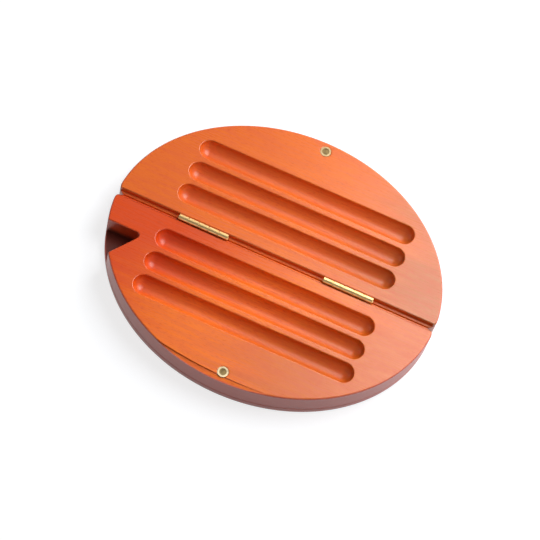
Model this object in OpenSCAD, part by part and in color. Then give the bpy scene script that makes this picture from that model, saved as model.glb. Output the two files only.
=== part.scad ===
// Oval brush box, opened flat: two half-oval wooden leaves joined by two small
// butt hinges, with three half-round brush grooves in each leaf.
// X runs along the hinge line, the base leaf lies towards -Y and the lid leaf
// towards +Y, and Z = 0 is the surface that the open box lies on.

/* [Leaf outline] */
// Length of the box along the hinge line
box_length = 180; // [170:1:200]
// Depth of one leaf, from the hinge line to its outer edge
leaf_depth = 75.5; // [72:0.5:84]
// Radius of the corners where the outline meets the hinge edge
corner_radius = 4.5; // [3:0.5:6]

/* [Leaf thickness] */
// Thickness of the grooved board
board_thickness = 13.4; // [11:0.2:16]
// Thickness of the outer plate glued to the board
plate_thickness = 4.6; // [3.4:0.2:6]
// Rounding of the rim at the inner face
rim_round = 0.7; // [0.4:0.1:1.2]
// Rounding of the outer plate's rim at the outside
outer_round = 1.6; // [0.6:0.1:1.7]
// Rounding on both sides of the glue line
glue_line_round = 0.35; // [0.2:0.05:0.5]

/* [Brush grooves] */
// Number of grooves in each leaf
groove_count = 3; // [1:1:3]
// Length of each groove over its round ends
groove_length = 122.4; // [100:0.4:126]
// Width of each groove, twice its depth
groove_width = 11.2; // [10:0.2:12]
// Distance between the grooves' centre lines
groove_pitch = 14.4; // [13.4:0.2:15]
// Chamfer along the lips of the grooves and of the hinge channel
lip_chamfer = 0.4; // [0.2:0.1:0.6]
// Distance of the first groove from the hinge line
groove_first = 14.7; // [14:0.1:16]

/* [Thumb notch] */
// Place of the notch's round tip along the hinge line
notch_tip_x = -71.6; // [-73:0.2:-70.5]
// Distance of the tip from the hinge line
notch_tip_y = 20; // [18:0.5:22]
// Radius of the tip
notch_tip_radius = 2.2; // [1.5:0.1:3]
// Direction in which the notch opens
notch_direction = 207; // [203:1:210]
// Opening angle between the notch's two edges
notch_angle = 54; // [40:2:58]

/* [Finger relief] */
// Depth of the shallow bevel at the front of the base
relief_depth = 4; // [2:0.5:5]
// Slope of the bevel
relief_slope = 20; // [10:1:30]

/* [Hinges] */
// Length of each hinge
hinge_length = 28; // [20:1:34]
// Distance of each hinge's centre from the middle of the box
hinge_offset = 41; // [30:1:50]
// Number of knuckles on each hinge, three on the base and two on the lid
knuckle_count = 5; // [3:2:7]
// Outer radius of the hinge barrel
barrel_radius = 1.6; // [1.4:0.1:1.7]
// Radius of the hinge pin
pin_radius = 0.75; // [0.6:0.05:0.8]
// Thickness of the hinge plates
hinge_plate_thickness = 0.9; // [0.7:0.1:1]
// Height of the hinge plates below the barrel's axis
hinge_plate_height = 10; // [8:0.5:11]
// Distance between the two screws of a hinge plate
screw_spacing = 17; // [14:1:19]

/* [Hinge edge] */
// Width of the channel's half in each leaf
channel_half = 1.95; // [1.9:0.05:2.2]
// Depth of the channel below the inner face
channel_depth = 2.4; // [2.2:0.1:3]
// Gap between the two leaves' edges when the box lies open
edge_gap = 0.3; // [0.3:0.05:0.6]
// Gap between the two inner faces when the box is shut
shut_gap = 0.3; // [0.3:0.05:0.6]

/* [Magnets] */
// Distance of the magnets from the hinge line
magnet_y = 70.2; // [69:0.2:71]
// Outer radius of the magnet's metal cup
cup_radius = 2.9; // [2.5:0.1:3]
// Height of the cup
cup_height = 3.4; // [3:0.2:5]
// Wall of the cup around the magnet
cup_wall = 1; // [0.6:0.1:1.1]
// Depth of the magnet's face below the cup's rim
magnet_sink = 0.25; // [0.1:0.05:0.5]

/* [Hidden] */
$fn = 96;

lacquer = "#d9602c";
lacquer_side = "#a8594a";
brass = "#c8a464";
steel = "#b9b3a6";
magnet_plating = "#9c8350";

leaf_thickness = board_thickness + plate_thickness;
edge_half = edge_gap / 2;
axis_z = leaf_thickness + shut_gap / 2;
groove_radius = groove_width / 2;
corner_bite = 0.05;

// The corner arc's centre: it crosses the oval and the hinge edge at a slight angle.
corner_y = -edge_half - corner_radius + corner_bite;
corner_x = box_length / 2 * sqrt(1 - pow(corner_y / leaf_depth, 2)) - corner_radius + corner_bite;

knuckle_pitch = hinge_length / knuckle_count;
knuckle_play = 0.3;
running_fit = 0.05;
knuckle_clearance = 0.3;
plate_outer = edge_half + hinge_plate_thickness;
screw_head_radius = 1.7;
screw_shank_radius = 0.85;
screw_head_height = 0.85;
screw_length = 8;
screw_slot = 0.45;
screw_sink = 0.05;
screw_drop = (hinge_plate_height + barrel_radius + knuckle_clearance) / 2;
past = 1;
rim_steps = 4;
skim = 0.05;

// Points along a quarter circle, from the given angle.
function quarter(centre, radius, start) = [
  for (i = [0 : rim_steps])
    let (angle = start + 90 * i / rim_steps)
    centre + radius * [cos(angle), sin(angle)]
];

// A round slab's half section, with rounded rims below and above.
module slab_section(radius, height, below, above) {
  polygon(concat(
    [[0, 0]],
    quarter([radius - below, below], below, -90),
    quarter([radius - above, height - above], above, 0),
    [[0, height]]
  ));
}

// What a rounded corner leaves off, on the right of the base leaf.
module corner_cut(height) {
  translate([0, 0, -past]) difference() {
    translate([corner_x, corner_y, 0]) cube([2 * corner_radius, 2 * corner_radius, height + 2 * past]);
    translate([corner_x, corner_y, -past]) cylinder(h = height + 4 * past, r = corner_radius);
  }
}

// One half-oval layer of the base leaf, cut straight at the hinge edge.
// The layer is its height and the rounding of its rim below and above. The slab
// is a little too thick at first, and its two faces are then cut flat.
module half_oval(layer) {
  height = layer[0];
  difference() {
    intersection() {
      translate([0, 0, -skim]) scale([1, leaf_depth * 2 / box_length, 1]) rotate_extrude()
        slab_section(box_length / 2, height + 2 * skim, layer[1], layer[2]);
      translate([-box_length, -box_length - edge_half, 0])
        cube([2 * box_length, box_length, height]);
    }
    corner_cut(height);
    mirror([1, 0, 0]) corner_cut(height);
  }
}

// A half-round groove with ball-shaped ends, as a ball-nosed cutter leaves it,
// and the chamfer round its lip.
module groove_cut(distance) {
  run = groove_length - groove_width;
  low = lip_chamfer + past;
  inner = groove_radius - past;
  outer = groove_radius + low;
  translate([-run / 2, -distance, leaf_thickness]) {
    rotate([0, 90, 0]) cylinder(h = run, r = groove_radius);
    rotate([90, 0, 90]) linear_extrude(run)
      polygon([[-inner, -low], [inner, -low], [outer, past], [-outer, past]]);
    for (end = [0, run]) translate([end, 0, 0]) {
      sphere(groove_radius);
      translate([0, 0, -low]) cylinder(h = low + past, r1 = inner, r2 = outer);
    }
  }
}

// The channel along the hinge edge, in which the barrels lie, with its lip.
module channel_cut() {
  lip = lip_chamfer + past;
  translate([-box_length, 0, leaf_thickness]) rotate([90, 0, 90]) linear_extrude(2 * box_length)
    polygon([
      [past, -channel_depth],
      [-channel_half, -channel_depth],
      [-channel_half, -lip_chamfer],
      [-channel_half - lip, past],
      [past, past]
    ]);
}

// Pockets for one hinge plate and its screws, in the vertical hinge edge.
module hinge_seat_cut() {
  translate([-hinge_length / 2, -plate_outer, axis_z - hinge_plate_height])
    cube([hinge_length, plate_outer + past, hinge_plate_height]);
  screw_row() rotate([90, 0, 0]) cylinder(h = screw_length, r = screw_shank_radius);
}

module screw_row() {
  for (side = [-1, 1])
    translate([side * screw_spacing / 2, -edge_half - screw_sink, axis_z - screw_drop]) children();
}

module both_hinges() {
  for (side = [-1, 1]) translate([side * hinge_offset, 0, 0]) children();
}

module magnet_seat_cut() {
  translate([0, -magnet_y, leaf_thickness - cup_height]) cylinder(h = cup_height + past, r = cup_radius);
}

// The grooved board of a leaf, on top of the outer plate.
module board() {
  difference() {
    translate([0, 0, plate_thickness]) half_oval([board_thickness, glue_line_round, rim_round]);
    for (i = [0 : groove_count - 1]) groove_cut(groove_first + i * groove_pitch);
    channel_cut();
    both_hinges() hinge_seat_cut();
    magnet_seat_cut();
    children();
  }
}

// The outer plate of a leaf.
module outer_plate() {
  half_oval([plate_thickness, outer_round, glue_line_round]);
}

// The thumb notch: two straight edges that meet in a round tip and cross it at
// a slight angle.
module notch_cut() {
  run = 40;
  upper = notch_direction - notch_angle / 2;
  lower = notch_direction + notch_angle / 2;
  r = notch_tip_radius - corner_bite;
  upper_start = [r * cos(upper - 90), r * sin(upper - 90)];
  lower_start = [r * cos(lower + 90), r * sin(lower + 90)];
  translate([notch_tip_x, -notch_tip_y, plate_thickness - past])
    linear_extrude(board_thickness + 2 * past) {
      circle(notch_tip_radius);
      polygon([
        [0, 0],
        upper_start,
        upper_start + run * [cos(upper), sin(upper)],
        lower_start + run * [cos(lower), sin(lower)],
        lower_start
      ]);
    }
}

// The shallow bevel at the front of the base, where a finger lifts the lid.
module relief_cut() {
  wide = 140;
  translate([-wide / 2, -leaf_depth + relief_depth, leaf_thickness]) rotate([relief_slope, 0, 0])
    translate([0, -leaf_depth / 2, 0]) cube([wide, leaf_depth / 2, board_thickness]);
}

// The knuckles of one hinge half: every second one, from the first given.
module knuckles(first, bore) {
  for (i = [first : 2 : knuckle_count - 1])
    translate([-hinge_length / 2 + i * knuckle_pitch + knuckle_play / 2, 0, axis_z])
      rotate([0, 90, 0]) difference() {
        cylinder(h = knuckle_pitch - knuckle_play, r = barrel_radius);
        translate([0, 0, -past]) cylinder(h = knuckle_pitch + past, r = bore);
      }
}

// Room for the other half's knuckles and for the pin.
module knuckle_room(first, bore) {
  room = barrel_radius + knuckle_clearance;
  for (i = [1 - first : 2 : knuckle_count - 1])
    translate([-hinge_length / 2 + i * knuckle_pitch - knuckle_play / 2, -room, axis_z - room])
      cube([knuckle_pitch + knuckle_play, 2 * room, 2 * room]);
  translate([-hinge_length / 2 - past, 0, axis_z]) rotate([0, 90, 0])
    cylinder(h = hinge_length + 2 * past, r = bore);
}

// One half of a butt hinge: a plate let into the hinge edge, rolled into knuckles.
module hinge_leaf(first, bore) {
  difference() {
    translate([-hinge_length / 2, -plate_outer, axis_z - hinge_plate_height])
      cube([hinge_length, hinge_plate_thickness, hinge_plate_height]);
    knuckle_room(first, bore);
    screw_row() rotate([90, 0, 0]) {
      cylinder(h = screw_length, r = screw_shank_radius);
      cylinder(h = screw_head_height, r1 = screw_head_radius, r2 = screw_shank_radius);
      translate([0, 0, -past]) cylinder(h = past, r = screw_head_radius);
    }
  }
  knuckles(first, bore);
}

// A slotted countersunk screw, pointing into the base leaf.
module screw() {
  rotate([90, 0, 0]) difference() {
    union() {
      cylinder(h = screw_head_height, r1 = screw_head_radius, r2 = screw_shank_radius);
      cylinder(h = screw_length, r = screw_shank_radius);
    }
    translate([-screw_head_radius - past, -screw_slot / 2, -past])
      cube([2 * screw_head_radius + 2 * past, screw_slot, past + screw_slot]);
  }
}

module screws() {
  both_hinges() screw_row() screw();
}

// The pin of one hinge, as long as its barrel.
module hinge_pin(side) {
  color(brass) translate([side * hinge_offset - hinge_length / 2 + knuckle_play / 2, 0, axis_z])
    rotate([0, 90, 0]) cylinder(h = hinge_length - knuckle_play, r = pin_radius);
}

// The magnet's metal cup, flush with the inner face.
module magnet_cup() {
  translate([0, -magnet_y, leaf_thickness - cup_height]) difference() {
    cylinder(h = cup_height, r = cup_radius);
    translate([0, 0, cup_wall]) cylinder(h = cup_height, r = cup_radius - cup_wall);
  }
}

// The magnet disc in its cup, a little below the rim.
module magnet_disc() {
  translate([0, -magnet_y, leaf_thickness - cup_height + cup_wall])
    cylinder(h = cup_height - cup_wall - magnet_sink, r = cup_radius - cup_wall);
}

module base_board() {
  color(lacquer) board() {
    notch_cut();
    relief_cut();
  }
}

module base_plate() {
  color(lacquer_side) outer_plate();
}

module base_hinge_leaf(side) {
  color(brass) translate([side * hinge_offset, 0, 0]) hinge_leaf(0, pin_radius);
}

module base_hinge_screws() {
  color(brass) screws();
}

module base_magnet_cup() {
  color(steel) magnet_cup();
}

module base_magnet() {
  color(magnet_plating) magnet_disc();
}

// The lid leaf mirrors the base leaf, without the notch and the relief.
module lid_board() {
  color(lacquer) mirror([0, 1, 0]) board();
}

module lid_plate() {
  color(lacquer_side) mirror([0, 1, 0]) outer_plate();
}

module lid_hinge_leaf(side) {
  color(brass) translate([side * hinge_offset, 0, 0])
    mirror([0, 1, 0]) hinge_leaf(1, pin_radius + running_fit);
}

module lid_hinge_screws() {
  color(brass) mirror([0, 1, 0]) screws();
}

module lid_magnet_cup() {
  color(steel) mirror([0, 1, 0]) magnet_cup();
}

module lid_magnet() {
  color(magnet_plating) mirror([0, 1, 0]) magnet_disc();
}

base_board();
base_plate();
base_hinge_leaf(-1);  // base_hinge_leaf_left
base_hinge_leaf(1);  // base_hinge_leaf_right
hinge_pin(-1);  // hinge_pin_left
hinge_pin(1);  // hinge_pin_right
base_hinge_screws();
base_magnet_cup();
base_magnet();
lid_board();
lid_plate();
lid_hinge_leaf(-1);  // lid_hinge_leaf_left
lid_hinge_leaf(1);  // lid_hinge_leaf_right
lid_hinge_screws();
lid_magnet_cup();
lid_magnet();
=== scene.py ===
# An oval brush box, opened flat: two grooved wooden leaves on two brass hinges.
# The leaves are modelled here over the CAD boards and plates. The hinges, pins,
# screws and magnets are the CAD nodes with better finishes.
import math

import bmesh
import bpy
from mathutils import Matrix, Vector


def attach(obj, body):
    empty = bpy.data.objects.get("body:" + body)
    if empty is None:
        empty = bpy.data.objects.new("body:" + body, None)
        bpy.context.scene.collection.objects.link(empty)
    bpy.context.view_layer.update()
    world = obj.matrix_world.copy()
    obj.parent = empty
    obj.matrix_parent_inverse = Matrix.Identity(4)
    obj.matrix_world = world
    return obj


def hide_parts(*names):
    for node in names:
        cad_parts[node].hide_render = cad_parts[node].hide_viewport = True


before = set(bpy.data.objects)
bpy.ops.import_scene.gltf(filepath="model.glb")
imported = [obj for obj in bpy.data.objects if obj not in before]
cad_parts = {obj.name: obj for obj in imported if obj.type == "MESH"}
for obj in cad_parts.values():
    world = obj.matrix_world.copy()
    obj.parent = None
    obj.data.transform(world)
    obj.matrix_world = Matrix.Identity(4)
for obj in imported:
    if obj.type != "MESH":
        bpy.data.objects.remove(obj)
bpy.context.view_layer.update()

MM = 0.001

# Sizes of the box
BOX_LENGTH = 180 * MM
LEAF_DEPTH = 75.5 * MM
LEAF_TOP = 18 * MM
PLATE_TOP = 4.6 * MM
CORNER_RADIUS = 4.5 * MM
EDGE_HALF = 0.15 * MM
AXIS_Z = 18.15 * MM

# How far the edges are rounded
RIM_ROUND = 0.9 * MM
OUTER_ROUND = 1 * MM
GLUE_LINE_ROUND = 0.5 * MM
LIP_ROUND = 0.55 * MM

GROOVE_LENGTH = 122.4 * MM
GROOVE_RADIUS = 5.6 * MM
GROOVE_PLACES = [14.7 * MM, 29.1 * MM, 43.5 * MM]

CHANNEL_HALF = 1.95 * MM
CHANNEL_DEPTH = 2.4 * MM
HINGE_PLACES = [-41 * MM, 41 * MM]
HINGE_LENGTH = 28 * MM
HINGE_PLATE_HEIGHT = 10 * MM
HINGE_PLATE_OUTER = 1.05 * MM

# The thumb notch, its direction and angle in degrees
NOTCH_TIP = Vector((-71.6 * MM, -20 * MM, 0))
NOTCH_TIP_RADIUS = 2.2 * MM
NOTCH_DIRECTION = 207
NOTCH_ANGLE = 54
NOTCH_BLOCK_REACH = 60 * MM

# The nail relief along the base's front rim: what lies outside a long curve and
# above a plane that slopes to the rim and tilts to the left, both in degrees
RELIEF_CURVE_X = 7 * MM
RELIEF_TO_LEFT = 55 * MM
RELIEF_TO_RIGHT = 40 * MM
RELIEF_WIDTH = 3 * MM
RELIEF_CURVE = 250 * MM
RELIEF_CURVE_STEPS = 720
RELIEF_CURVE_TURN = 0.2
RELIEF_CURVE_HEIGHT = 40 * MM
RELIEF_DROP = 0.32 * MM
RELIEF_DROP_INSET = 2.5 * MM
RELIEF_BLOCK_INSET = 10 * MM
RELIEF_SLOPE = 5
RELIEF_TILT = 1

# Beyond this distance from the hinge line only the magnet seat's edge is rounded
LIP_REACH = 66 * MM

MAGNET_Y = 70.2 * MM
CUP_RADIUS = 2.9 * MM
CUP_HEIGHT = 3.4 * MM

# How far a cutter runs past the wood, and what counts as nothing
PAST = 1 * MM
TINY = 0.01 * MM

# In degrees: a sharper edge than the first is a lip, and one that is sharper than
# the second stays sharp in the shading
LIP_ANGLE = 50
SMOOTH_ANGLE = 40

# The base leaf lies towards -Y and the lid leaf towards +Y.
BASE = -1
LID = 1

# The wood's finish, with painted shade in its sunk parts, on the notch's floor and on its
# outer wall
TONE_STOPS = (0.15, 0.6, 1.0)
TONE_START = 0.42
BAND_SHIFT = 0.16
STREAK_STRENGTH = 0.36
FLECK_STRENGTH = 0.5
# How strongly the grooves and other sunk parts are darkened: painted shade
SUNK_PAINTED_SHADE = 0.12
# How strongly, and towards which colour, the notch's floor is darkened: painted shade
NOTCH_PAINTED_SHADE = 0.85
NOTCH_SHADE_COLOUR = (0.07, 0.012, 0.008)
ROUGH_STREAK = 0.31
ROUGH_PLAIN = 0.25
ROUGH_SUNK = 0.1
# The colour of the painted shade in the grooves and other sunk parts
SUNK_SHADE_COLOUR = (0.6, 0.05, 0.001)
# The outer wall's darker maroon: painted shade
WALL_SHADE_COLOUR = (0.68, 0.11, 0.07)

# The camera, as fitted to the photograph: angles in degrees, lens and sensor in mm
CAMERA_AZIMUTH = 6.446
CAMERA_ELEVATION = 64
CAMERA_ROLL = 17.883
CAMERA_AIM = Vector((-0.224 * MM, -7.216 * MM, LEAF_TOP))
CAMERA_DISTANCE = 1203.9 * MM
CAMERA_LENS = 155.06
CAMERA_SENSOR = 36

# The studio
LAMP_AIM = Vector((0, 0, 0.01))
FLOOR_SIZE = 8
FLOOR_GAP = 0.05 * MM
FLOOR_GREY = (0.34, 0.35, 0.37)
FLOOR_GLOW = 0.76
BACKDROP_RADIUS = 3.9
BACKDROP_HEIGHT = 1.6
BACKDROP_MIDDLE = 0.79
WORLD_LIGHT = 0.22


# Modelling by hand


def put_down():
    """Nothing is selected or active any more."""
    if bpy.context.object and bpy.context.object.mode != "OBJECT":
        bpy.ops.object.mode_set(mode="OBJECT")
    bpy.ops.object.select_all(action="DESELECT")


def take_up(piece):
    """Only this piece is selected."""
    put_down()
    piece.select_set(True)
    bpy.context.view_layer.objects.active = piece


def settle(name):
    """Names the piece just added and puts its place into its mesh."""
    piece = bpy.context.object
    piece.name = name
    piece.data.name = name
    bpy.ops.object.transform_apply(location=True, rotation=True, scale=True)
    return piece


def mark(kind, wanted):
    """Selects the edges or faces that pass, of the piece in edit mode."""
    bpy.ops.mesh.select_mode(type="FACE" if kind == "faces" else "EDGE")
    bpy.ops.mesh.select_all(action="DESELECT")
    mesh = bpy.context.object.data
    form = bmesh.from_edit_mesh(mesh)
    for item in getattr(form, kind):
        if wanted(item):
            item.select_set(True)
    bmesh.update_edit_mesh(mesh)


def middle(edge):
    return (edge.verts[0].co + edge.verts[1].co) / 2


def is_upright(edge):
    return (edge.verts[0].co - edge.verts[1].co).xy.length < TINY


def is_level_at(edge, height):
    return all(abs(v.co.z - height) < TINY for v in edge.verts)


def round_edges(width, steps):
    bpy.ops.mesh.bevel(
        offset=width, segments=steps, profile=0.5, affect="EDGES", clamp_overlap=False
    )


def block(name, low, high):
    """A cutter between two corners."""
    put_down()
    low, high = Vector(low), Vector(high)
    bpy.ops.mesh.primitive_cube_add(size=1, location=(low + high) / 2, scale=high - low)
    return settle(name)


def carve(piece, cutter):
    """Cuts the cutter out of the piece and removes the cutter."""
    cut = piece.modifiers.new("carve", "BOOLEAN")
    cut.operation = "DIFFERENCE"
    cut.solver = "EXACT"
    cut.object = cutter
    take_up(piece)
    bpy.ops.object.modifier_apply(modifier=cut.name)
    bpy.data.objects.remove(cutter, do_unlink=True)


def smooth_over(piece, angle):
    """Smooth shading that keeps the flat faces flat."""
    take_up(piece)
    bpy.ops.object.shade_smooth_by_angle(angle=math.radians(angle))
    even = piece.modifiers.new("even normals", "WEIGHTED_NORMAL")
    even.keep_sharp = True
    even.weight = 80
    bpy.ops.object.modifier_apply(modifier=even.name)
    put_down()


# The leaves


def half_oval_slab(name, side, bottom, top, bottom_round, top_round):
    """Half an oval slab with rounded corners at the hinge edge and rounded rims."""
    put_down()
    bpy.ops.mesh.primitive_cylinder_add(
        vertices=240,
        radius=BOX_LENGTH / 2,
        depth=top - bottom,
        location=(0, 0, (bottom + top) / 2),
    )
    slab = settle(name)
    bpy.ops.object.mode_set(mode="EDIT")
    bpy.ops.mesh.select_all(action="SELECT")
    bpy.ops.transform.resize(
        value=(1, LEAF_DEPTH * 2 / BOX_LENGTH, 1), center_override=(0, 0, 0)
    )
    bpy.ops.mesh.bisect(
        plane_co=(0, side * EDGE_HALF, 0),
        plane_no=(0, -side, 0),
        use_fill=True,
        clear_outer=True,
    )
    off_hinge = EDGE_HALF + TINY
    reach = CORNER_RADIUS + 2 * EDGE_HALF
    mark("edges", lambda e: is_upright(e) and off_hinge < abs(middle(e).y) < reach)
    bpy.ops.mesh.dissolve_edges(use_verts=True)
    mark("edges", lambda e: is_upright(e) and abs(middle(e).y) < off_hinge)
    round_edges(CORNER_RADIUS, 9)
    mark("edges", lambda e: is_level_at(e, top) and abs(middle(e).y) > off_hinge)
    round_edges(top_round, 4)
    mark("edges", lambda e: is_level_at(e, bottom) and abs(middle(e).y) > off_hinge)
    round_edges(bottom_round, 4)
    bpy.ops.object.mode_set(mode="OBJECT")
    return slab


def groove_cutter(side, distance):
    """A ball-nosed groove: a sphere whose half is drawn out along the hinge line."""
    run = GROOVE_LENGTH - 2 * GROOVE_RADIUS
    put_down()
    bpy.ops.mesh.primitive_uv_sphere_add(
        segments=48,
        ring_count=32,
        radius=GROOVE_RADIUS,
        location=(-run / 2, side * distance, LEAF_TOP),
        rotation=(0, math.pi / 2, 0),
    )
    cutter = settle("groove cutter")
    bpy.ops.object.mode_set(mode="EDIT")
    mark("faces", lambda f: f.calc_center_median().x > -run / 2)
    bpy.ops.mesh.extrude_region_move(TRANSFORM_OT_translate={"value": (run, 0, 0)})
    bpy.ops.object.mode_set(mode="OBJECT")
    return cutter


def notch_cutter():
    """A wedge between two upright cuts, with a rounded tip."""
    half = math.radians(NOTCH_ANGLE / 2)
    apex = NOTCH_TIP - polar(NOTCH_DIRECTION) * NOTCH_TIP_RADIUS / math.sin(half)
    cutter = block(
        "notch cutter",
        (apex.x - NOTCH_BLOCK_REACH, apex.y - NOTCH_BLOCK_REACH, PLATE_TOP - PAST),
        (apex.x + NOTCH_BLOCK_REACH, apex.y + NOTCH_BLOCK_REACH, LEAF_TOP + PAST),
    )
    bpy.ops.object.mode_set(mode="EDIT")
    for turn in (90 - NOTCH_ANGLE / 2, NOTCH_ANGLE / 2 - 90):
        bpy.ops.mesh.select_all(action="SELECT")
        bpy.ops.mesh.bisect(
            plane_co=apex,
            plane_no=polar(NOTCH_DIRECTION + 180 + turn),
            use_fill=True,
            clear_outer=True,
        )
    mark("edges", lambda e: is_upright(e) and (middle(e).xy - apex.xy).length < TINY)
    round_edges(NOTCH_TIP_RADIUS / math.tan(half), 10)
    bpy.ops.object.mode_set(mode="OBJECT")
    return cutter


def polar(angle):
    """A level direction of length one, its angle in degrees."""
    return Vector((math.cos(math.radians(angle)), math.sin(math.radians(angle)), 0))


def relief_cutter():
    """A shallow crescent along the front rim of the base, deepest at its left end."""
    inner_edge = -LEAF_DEPTH + RELIEF_WIDTH
    cutter = block(
        "relief cutter",
        (RELIEF_CURVE_X - RELIEF_TO_LEFT, -LEAF_DEPTH - PAST, PLATE_TOP),
        (RELIEF_CURVE_X + RELIEF_TO_RIGHT, inner_edge + RELIEF_BLOCK_INSET, LEAF_TOP + PAST),
    )
    bpy.ops.object.mode_set(mode="EDIT")
    bpy.ops.mesh.select_all(action="SELECT")
    tilt = math.tan(math.radians(RELIEF_TILT))
    slope = math.tan(math.radians(RELIEF_SLOPE))
    bpy.ops.mesh.bisect(
        plane_co=(0, inner_edge + RELIEF_DROP_INSET, LEAF_TOP - RELIEF_DROP),
        plane_no=Vector((-tilt, -slope, 1)),
        use_fill=True,
        clear_inner=True,
    )
    bpy.ops.object.mode_set(mode="OBJECT")
    put_down()
    bpy.ops.mesh.primitive_cylinder_add(
        vertices=RELIEF_CURVE_STEPS,
        radius=RELIEF_CURVE,
        depth=RELIEF_CURVE_HEIGHT,
        location=(RELIEF_CURVE_X, inner_edge + RELIEF_CURVE, LEAF_TOP),
        rotation=(0, 0, math.radians(RELIEF_CURVE_TURN)),
    )
    carve(cutter, settle("relief curve"))
    return cutter


def channel_cutter(side):
    wide = BOX_LENGTH / 2 + PAST
    y = sorted((side * CHANNEL_HALF, -side * PAST))
    return block(
        "channel cutter",
        (-wide, y[0], LEAF_TOP - CHANNEL_DEPTH),
        (wide, y[1], LEAF_TOP + PAST),
    )


def hinge_seat_cutter(side, x):
    y = sorted((side * HINGE_PLATE_OUTER, -side * PAST))
    return block(
        "hinge seat cutter",
        (x - HINGE_LENGTH / 2, y[0], AXIS_Z - HINGE_PLATE_HEIGHT),
        (x + HINGE_LENGTH / 2, y[1], LEAF_TOP + PAST),
    )


def magnet_seat_cutter(side):
    put_down()
    bpy.ops.mesh.primitive_cylinder_add(
        vertices=64,
        radius=CUP_RADIUS,
        depth=CUP_HEIGHT + PAST,
        location=(0, side * MAGNET_Y, LEAF_TOP - CUP_HEIGHT / 2 + PAST / 2),
    )
    return settle("magnet seat cutter")


def divide_top(side):
    """Lines through the grooves and the magnet, which split the flat top face."""
    for distance in GROOVE_PLACES + [MAGNET_Y]:
        bpy.ops.mesh.select_all(action="SELECT")
        bpy.ops.mesh.bisect(
            plane_co=(0, side * distance, 0), plane_no=(0, 1, 0), threshold=TINY / 10
        )


def trim_above(height):
    """Cuts off what the rounding pushed up where three rounded edges meet."""
    bpy.ops.mesh.select_all(action="SELECT")
    bpy.ops.mesh.bisect(
        plane_co=(0, 0, height),
        plane_no=(0, 0, 1),
        use_fill=True,
        clear_outer=True,
        threshold=TINY / 10,
    )


def is_lip(edge):
    """A sharp edge round a groove, the channel, the notch or the magnet seat."""
    place = middle(edge).xy
    from_cup = (Vector((0, MAGNET_Y)) - Vector((place.x, abs(place.y)))).length
    return (
        len(edge.link_faces) == 2
        and edge.is_convex
        and edge.calc_face_angle() > math.radians(LIP_ANGLE)
        and max(v.co.z for v in edge.verts) > LEAF_TOP - CHANNEL_DEPTH - TINY
        and (from_cup < CUP_RADIUS + TINY or abs(place.y) < LIP_REACH)
    )


def grooved_board(name, side, extra_cutters):
    board = half_oval_slab(name, side, PLATE_TOP, LEAF_TOP, GLUE_LINE_ROUND, RIM_ROUND)
    for distance in GROOVE_PLACES:
        carve(board, groove_cutter(side, distance))
    carve(board, channel_cutter(side))
    for x in HINGE_PLACES:
        carve(board, hinge_seat_cutter(side, x))
    for cutter in extra_cutters:
        carve(board, cutter())
    carve(board, magnet_seat_cutter(side))
    take_up(board)
    bpy.ops.object.mode_set(mode="EDIT")
    divide_top(side)
    mark("edges", is_lip)
    round_edges(LIP_ROUND, 3)
    trim_above(LEAF_TOP + TINY)
    bpy.ops.object.mode_set(mode="OBJECT")
    smooth_over(board, SMOOTH_ANGLE)
    return board


def outer_plate(name, side):
    plate = half_oval_slab(name, side, 0, PLATE_TOP, OUTER_ROUND, GLUE_LINE_ROUND)
    smooth_over(plate, SMOOTH_ANGLE)
    return plate


# Finishes


def socketed(name, inputs, outputs):
    """An empty node group with these sockets."""
    group = bpy.data.node_groups.new(name, "ShaderNodeTree")
    for label, kind in inputs:
        group.interface.new_socket(name=label, in_out="INPUT", socket_type=kind)
    for label, kind in outputs:
        group.interface.new_socket(name=label, in_out="OUTPUT", socket_type=kind)
    return group, group.nodes.new("NodeGroupInput"), group.nodes.new("NodeGroupOutput")


def noise(nodes, links, vector, scale, detail, rough=0.5, distortion=0.0):
    made = nodes.new("ShaderNodeTexNoise")
    made.inputs["Scale"].default_value = scale
    made.inputs["Detail"].default_value = detail
    made.inputs["Roughness"].default_value = rough
    made.inputs["Distortion"].default_value = distortion
    links.new(vector, made.inputs["Vector"])
    return made.outputs["Fac"]


def stretched(nodes, links, vector, scale):
    made = nodes.new("ShaderNodeMapping")
    made.inputs["Scale"].default_value = scale
    links.new(vector, made.inputs["Vector"])
    return made.outputs["Vector"]


def between(nodes, links, value, low, high, out_low=0.0, out_high=1.0):
    made = nodes.new("ShaderNodeMapRange")
    made.interpolation_type = "SMOOTHSTEP"
    made.inputs["From Min"].default_value = low
    made.inputs["From Max"].default_value = high
    made.inputs["To Min"].default_value = out_low
    made.inputs["To Max"].default_value = out_high
    links.new(value, made.inputs["Value"])
    return made.outputs["Result"]


def maths(nodes, links, how, a, b):
    made = nodes.new("ShaderNodeMath")
    made.operation = how
    for socket, value in zip(made.inputs, (a, b)):
        if isinstance(value, (int, float)):
            socket.default_value = value
        else:
            links.new(value, socket)
    return made.outputs["Value"]


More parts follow.
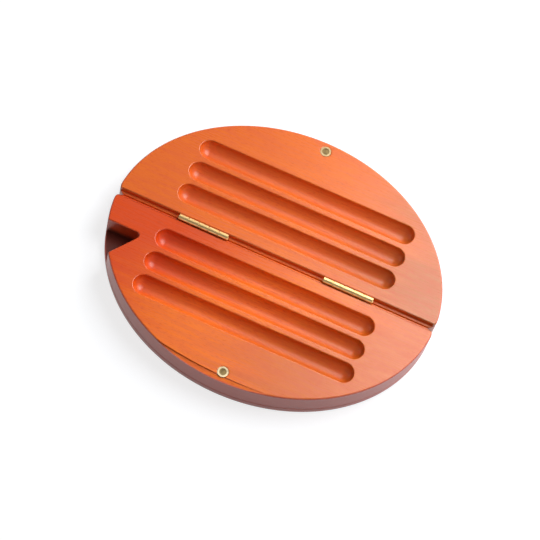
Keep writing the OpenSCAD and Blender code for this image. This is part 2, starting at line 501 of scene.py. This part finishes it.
def fine_grain():
    """Close-grained wood along the hinge line: bands, streaks and short flecks."""
    group, given, out = socketed(
        "fine wood grain",
        [("Place", "NodeSocketVector")],
        [(label, "NodeSocketFloat") for label in ("Bands", "Streaks", "Flecks", "Height")],
    )
    nodes, links = group.nodes, group.links
    place = given.outputs["Place"]
    band_place = stretched(nodes, links, place, (6, 70, 70))
    streak_place = stretched(nodes, links, place, (60, 900, 900))
    fleck_place = stretched(nodes, links, place, (420, 2600, 2600))
    bands = noise(nodes, links, band_place, scale=1, detail=3, rough=0.5, distortion=0.6)
    streaks = noise(nodes, links, streak_place, scale=1, detail=3, rough=0.6)
    flecks = noise(nodes, links, fleck_place, scale=1, detail=1, rough=0.4)
    flecks = between(nodes, links, flecks, 0.56, 0.72)
    links.new(between(nodes, links, bands, 0.3, 0.7), out.inputs["Bands"])
    links.new(between(nodes, links, streaks, 0.3, 0.7), out.inputs["Streaks"])
    links.new(flecks, out.inputs["Flecks"])
    half_streaks = maths(nodes, links, "MULTIPLY", streaks, 0.5)
    height = maths(nodes, links, "SUBTRACT", half_streaks, flecks)
    links.new(height, out.inputs["Height"])
    return group


GRAIN = fine_grain()


def new_material(name):
    made = bpy.data.materials.new(name)
    made.use_nodes = True
    nodes, links = made.node_tree.nodes, made.node_tree.links
    return made, nodes, links, nodes["Principled BSDF"]


def on_object(nodes):
    return nodes.new("ShaderNodeTexCoord").outputs["Object"]


def add_bump(nodes, links, shader, height, strength, distance):
    bump = nodes.new("ShaderNodeBump")
    bump.inputs["Strength"].default_value = strength
    bump.inputs["Distance"].default_value = distance
    links.new(height, bump.inputs["Height"])
    links.new(bump.outputs["Normal"], shader.inputs["Normal"])


def blended(nodes, links, factor, first, second):
    made = nodes.new("ShaderNodeMix")
    made.data_type = "RGBA"
    for label, value in (("Factor", factor), ("A", first), ("B", second)):
        socket = [s for s in made.inputs if s.name == label and s.enabled][0]
        if isinstance(value, tuple):
            socket.default_value = (*value, 1)
        elif isinstance(value, (int, float)):
            socket.default_value = value
        else:
            links.new(value, socket)
    return [s for s in made.outputs if s.enabled][0]


def painted_wall_shade(nodes, links, where):
    """One on the leaves' outer wall, where the colour is painted a darker maroon as shade."""
    round_oval = stretched(nodes, links, where, (2 / BOX_LENGTH, 1 / LEAF_DEPTH, 0))
    length = nodes.new("ShaderNodeVectorMath")
    length.operation = "LENGTH"
    links.new(round_oval, length.inputs[0])
    return between(nodes, links, length.outputs["Value"], 0.991, 0.999)


def sunk_parts(nodes, links, place):
    """One below the top face, away from the leaves' bottom and hinge edges."""
    height = place.outputs["Z"]
    below_top = between(nodes, links, height, LEAF_TOP - 0.2 * MM, LEAF_TOP - 3.4 * MM)
    above_bottom = between(nodes, links, height, 0.6 * MM, 3 * MM)
    from_hinge = maths(nodes, links, "ABSOLUTE", place.outputs["Y"], 0)
    off_hinge_edge = between(nodes, links, from_hinge, EDGE_HALF + TINY, CHANNEL_HALF)
    sunk = maths(nodes, links, "MULTIPLY", below_top, above_bottom)
    return maths(nodes, links, "MULTIPLY", sunk, off_hinge_edge)


def painted_notch_shade(nodes, links, place, sunk):
    """One low down at the leaves' left end, for the painted shade on the notch's floor."""
    low = between(nodes, links, place.outputs["Z"], 11 * MM, 6 * MM)
    low = maths(nodes, links, "MULTIPLY", low, sunk)
    at_left = between(
        nodes, links, place.outputs["X"], NOTCH_TIP.x + 4 * MM, NOTCH_TIP.x + 2 * MM
    )
    return maths(nodes, links, "MULTIPLY", low, at_left)


def tone(nodes, links, place, bands, tones, front_shift):
    """The stain's colour, which changes along the leaf and a little with the grain."""
    position = maths(nodes, links, "MULTIPLY", place.outputs["X"], 1 / BOX_LENGTH)
    to_front = maths(nodes, links, "MULTIPLY", place.outputs["Y"], -front_shift / LEAF_DEPTH)
    position = maths(nodes, links, "ADD", position, to_front)
    with_bands = maths(nodes, links, "MULTIPLY", bands, BAND_SHIFT)
    position = maths(nodes, links, "ADD", position, with_bands)
    position = maths(nodes, links, "ADD", position, TONE_START)
    ramp = nodes.new("ShaderNodeValToRGB")
    ramp.color_ramp.interpolation = "EASE"
    stops = ramp.color_ramp.elements
    stops.new(0.5)
    for stop, start, colour in zip(stops, TONE_STOPS, tones):
        stop.position = start
        stop.color = (*colour, 1)
    links.new(position, ramp.inputs["Fac"])
    return ramp.outputs["Color"]


def lacquered_wood(name, tones, front_shift, fleck, shift):
    """Red-orange stained wood under a satin lacquer."""
    made, nodes, links, shader = new_material(name)
    where = on_object(nodes)
    moved = nodes.new("ShaderNodeMapping")
    moved.inputs["Location"].default_value = shift
    links.new(where, moved.inputs["Vector"])
    grain = nodes.new("ShaderNodeGroup")
    grain.node_tree = GRAIN
    links.new(moved.outputs["Vector"], grain.inputs["Place"])
    place = nodes.new("ShaderNodeSeparateXYZ")
    links.new(where, place.inputs["Vector"])
    sunk = sunk_parts(nodes, links, place)

    colour = tone(nodes, links, place, grain.outputs["Bands"], tones, front_shift)
    streaks = between(nodes, links, grain.outputs["Streaks"], 0, 1, STREAK_STRENGTH, 0)
    colour = blended(nodes, links, streaks, colour, fleck)
    marks = maths(nodes, links, "MULTIPLY", grain.outputs["Flecks"], FLECK_STRENGTH)
    colour = blended(nodes, links, marks, colour, fleck)
    # Painted shade: the grooves and other sunk parts are darkened towards a deep colour
    sunk_shade = maths(nodes, links, "MULTIPLY", sunk, SUNK_PAINTED_SHADE)
    colour = blended(nodes, links, sunk_shade, colour, SUNK_SHADE_COLOUR)
    # Painted shade on the notch's floor
    notch_shade_mask = painted_notch_shade(nodes, links, place, sunk)
    notch_shade = maths(nodes, links, "MULTIPLY", notch_shade_mask, NOTCH_PAINTED_SHADE)
    colour = blended(nodes, links, notch_shade, colour, NOTCH_SHADE_COLOUR)
    # Painted shade: the outer wall is made a darker maroon
    colour = blended(nodes, links, painted_wall_shade(nodes, links, where), colour, WALL_SHADE_COLOUR)
    links.new(colour, shader.inputs["Base Color"])

    rough = between(nodes, links, grain.outputs["Streaks"], 0, 1, ROUGH_STREAK, ROUGH_PLAIN)
    rough_sunk = maths(nodes, links, "MULTIPLY", sunk, ROUGH_SUNK)
    links.new(maths(nodes, links, "ADD", rough, rough_sunk), shader.inputs["Roughness"])
    add_bump(nodes, links, shader, grain.outputs["Height"], 0.12, 0.05 * MM)
    shader.inputs["IOR"].default_value = 1.5
    shader.inputs["Specular IOR Level"].default_value = 0.56
    shader.inputs["Coat Weight"].default_value = 0.1
    shader.inputs["Coat Roughness"].default_value = 0.2
    return made


def rubbed_metal(name, colour, dull, roughness):
    """Brass with a fine drawn surface and a few dull patches."""
    made, nodes, links, shader = new_material(name)
    where = on_object(nodes)
    line_place = stretched(nodes, links, where, (300, 4000, 4000))
    lines = noise(nodes, links, line_place, scale=1, detail=2, rough=0.6)
    patches = noise(nodes, links, where, scale=400, detail=3, rough=0.6)
    patches = between(nodes, links, patches, 0.42, 0.68)
    links.new(blended(nodes, links, patches, colour, dull), shader.inputs["Base Color"])
    rough_patches = maths(nodes, links, "MULTIPLY", patches, 0.12)
    rough_lines = between(nodes, links, lines, 0.3, 0.7, roughness, roughness + 0.1)
    rough = maths(nodes, links, "ADD", rough_patches, rough_lines)
    links.new(rough, shader.inputs["Roughness"])
    add_bump(nodes, links, shader, lines, 0.15, 0.02 * MM)
    shader.inputs["Metallic"].default_value = 1
    return made


def finish_node(node, material):
    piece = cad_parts[node]
    piece.data.materials.clear()
    piece.data.materials.append(material)


# The box


def add_leaves():
    base_wood = lacquered_wood(
        "base lacquer",
        tones=((0.71, 0.068, 0.003), (0.93, 0.19, 0.01), (0.68, 0.145, 0.01)),
        front_shift=0.3,
        fleck=(0.6, 0.05, 0.004),
        shift=(0, 0, 0),
    )
    lid_wood = lacquered_wood(
        "lid lacquer",
        tones=((0.76, 0.145, 0.014), (0.84, 0.175, 0.016), (0.52, 0.135, 0.018)),
        front_shift=0,
        fleck=(0.6, 0.06, 0.006),
        shift=(0.31, 0.17, 0.05),
    )
    leaves = (
        ("base", BASE, base_wood, [notch_cutter, relief_cutter]),
        ("lid", LID, lid_wood, []),
    )
    for body, side, wood, extra_cutters in leaves:
        board = grooved_board(body + "_board_wood", side, extra_cutters)
        plate = outer_plate(body + "_plate_wood", side)
        for piece, node, slot in (
            (board, body + "_board", "lacquered_board"),
            (plate, body + "_plate", "lacquered_plate"),
        ):
            piece.data.materials.append(wood)
            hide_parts(node)
            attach(piece, body)


def finish_hardware():
    brass = rubbed_metal(
        "hinge brass", colour=(0.9, 0.63, 0.28), dull=(0.76, 0.5, 0.2), roughness=0.28
    )
    screw_brass = rubbed_metal(
        "screw brass", colour=(0.74, 0.5, 0.2), dull=(0.6, 0.38, 0.14), roughness=0.34
    )
    # The lid's cup gets a darker copy of the cup brass: painted shade
    shaded = rubbed_metal(
        "tarnished cup brass", colour=(0.52, 0.4, 0.22), dull=(0.4, 0.27, 0.13), roughness=0.46
    )
    pale = rubbed_metal(
        "cup brass", colour=(0.66, 0.55, 0.35), dull=(0.5, 0.4, 0.24), roughness=0.42
    )
    dark = rubbed_metal(
        "magnet plating", colour=(0.24, 0.17, 0.07), dull=(0.16, 0.11, 0.05), roughness=0.45
    )
    for body in ("base", "lid"):
        finish_node(body + "_hinge_leaf_left", brass)
        finish_node(body + "_hinge_leaf_right", brass)
        finish_node(body + "_hinge_screws", screw_brass)
        finish_node(body + "_magnet", dark)
    finish_node("base_magnet_cup", pale)
    finish_node("lid_magnet_cup", shaded)
    finish_node("hinge_pin_left", brass)
    finish_node("hinge_pin_right", brass)


# The studio


def add_camera():
    """The photograph's view, as fitted to the box's outline and grooves."""
    azimuth = math.radians(CAMERA_AZIMUTH)
    elevation = math.radians(CAMERA_ELEVATION)
    roll = math.radians(CAMERA_ROLL)
    back = Vector((
        math.sin(azimuth) * math.cos(elevation),
        -math.cos(azimuth) * math.cos(elevation),
        math.sin(elevation),
    ))
    right = Vector((0, 0, 1)).cross(back).normalized()
    up = back.cross(right)
    rolled_right = right * math.cos(roll) + up * math.sin(roll)
    rolled_up = up * math.cos(roll) - right * math.sin(roll)
    data = bpy.data.cameras.new("camera")
    data.sensor_width = CAMERA_SENSOR
    data.lens = CAMERA_LENS
    camera = bpy.data.objects.new("camera", data)
    bpy.context.scene.collection.objects.link(camera)
    turn = Matrix((rolled_right, rolled_up, back)).transposed().to_4x4()
    camera.matrix_world = Matrix.Translation(CAMERA_AIM + back * CAMERA_DISTANCE) @ turn
    bpy.context.scene.camera = camera


def add_lamp(name, direction, distance, size, power):
    """A round lamp that faces the box, its direction as seen from the box."""
    data = bpy.data.lights.new(name, "AREA")
    data.shape = "DISK"
    data.size = size
    data.energy = power
    lamp = bpy.data.objects.new(name, data)
    bpy.context.scene.collection.objects.link(lamp)
    towards = Vector(direction).normalized()
    lamp.location = LAMP_AIM + towards * distance
    lamp.rotation_mode = "QUATERNION"
    lamp.rotation_quaternion = towards.to_track_quat("Z", "Y")


def seen_directly(nodes, links):
    """One for rays from the camera, glossy surfaces and clear ones."""
    path = nodes.new("ShaderNodeLightPath")
    camera, glossy = path.outputs["Is Camera Ray"], path.outputs["Is Glossy Ray"]
    either = maths(nodes, links, "MAXIMUM", camera, glossy)
    return maths(nodes, links, "MAXIMUM", either, path.outputs["Is Transmission Ray"])


def add_floor():
    """A pale table top that shows white and keeps the shadow."""
    put_down()
    bpy.ops.mesh.primitive_plane_add(size=FLOOR_SIZE, location=(0, 0, -FLOOR_GAP))
    floor = settle("floor")
    made, nodes, links, shader = new_material("pale table")
    shader.inputs["Base Color"].default_value = (*FLOOR_GREY, 1)
    shader.inputs["Roughness"].default_value = 0.9
    shader.inputs["Specular IOR Level"].default_value = 0
    shader.inputs["Emission Color"].default_value = (1, 1, 1, 1)
    glow = maths(nodes, links, "MULTIPLY", seen_directly(nodes, links), FLOOR_GLOW)
    links.new(glow, shader.inputs["Emission Strength"])
    floor.data.materials.append(made)


def add_backdrop():
    """A far white ring round the table, behind what a low camera sees."""
    put_down()
    bpy.ops.mesh.primitive_cylinder_add(
        vertices=96,
        radius=BACKDROP_RADIUS,
        depth=BACKDROP_HEIGHT,
        end_fill_type="NOTHING",
        location=(0, 0, BACKDROP_MIDDLE),
    )
    backdrop = settle("backdrop")
    made, nodes, links, shader = new_material("white backdrop")
    shader.inputs["Base Color"].default_value = (0.1, 0.1, 0.1, 1)
    shader.inputs["Specular IOR Level"].default_value = 0
    shader.inputs["Emission Color"].default_value = (1, 1, 1, 1)
    links.new(seen_directly(nodes, links), shader.inputs["Emission Strength"])
    backdrop.data.materials.append(made)


def add_world():
    world = bpy.data.worlds.new("studio")
    bpy.context.scene.world = world
    world.use_nodes = True
    background = world.node_tree.nodes["Background"]
    background.inputs["Color"].default_value = (1, 1, 1, 1)
    background.inputs["Strength"].default_value = WORLD_LIGHT


bpy.context.scene.view_settings.view_transform = "Standard"
add_camera()
add_leaves()
finish_hardware()
add_floor()
add_backdrop()
add_world()
add_lamp("large softbox", (0.33, 0.32, 0.61), distance=0.78, size=0.7, power=6.7)
add_lamp("back softbox", (0.25, 0.9, 0.5), distance=0.95, size=0.6, power=3.8)
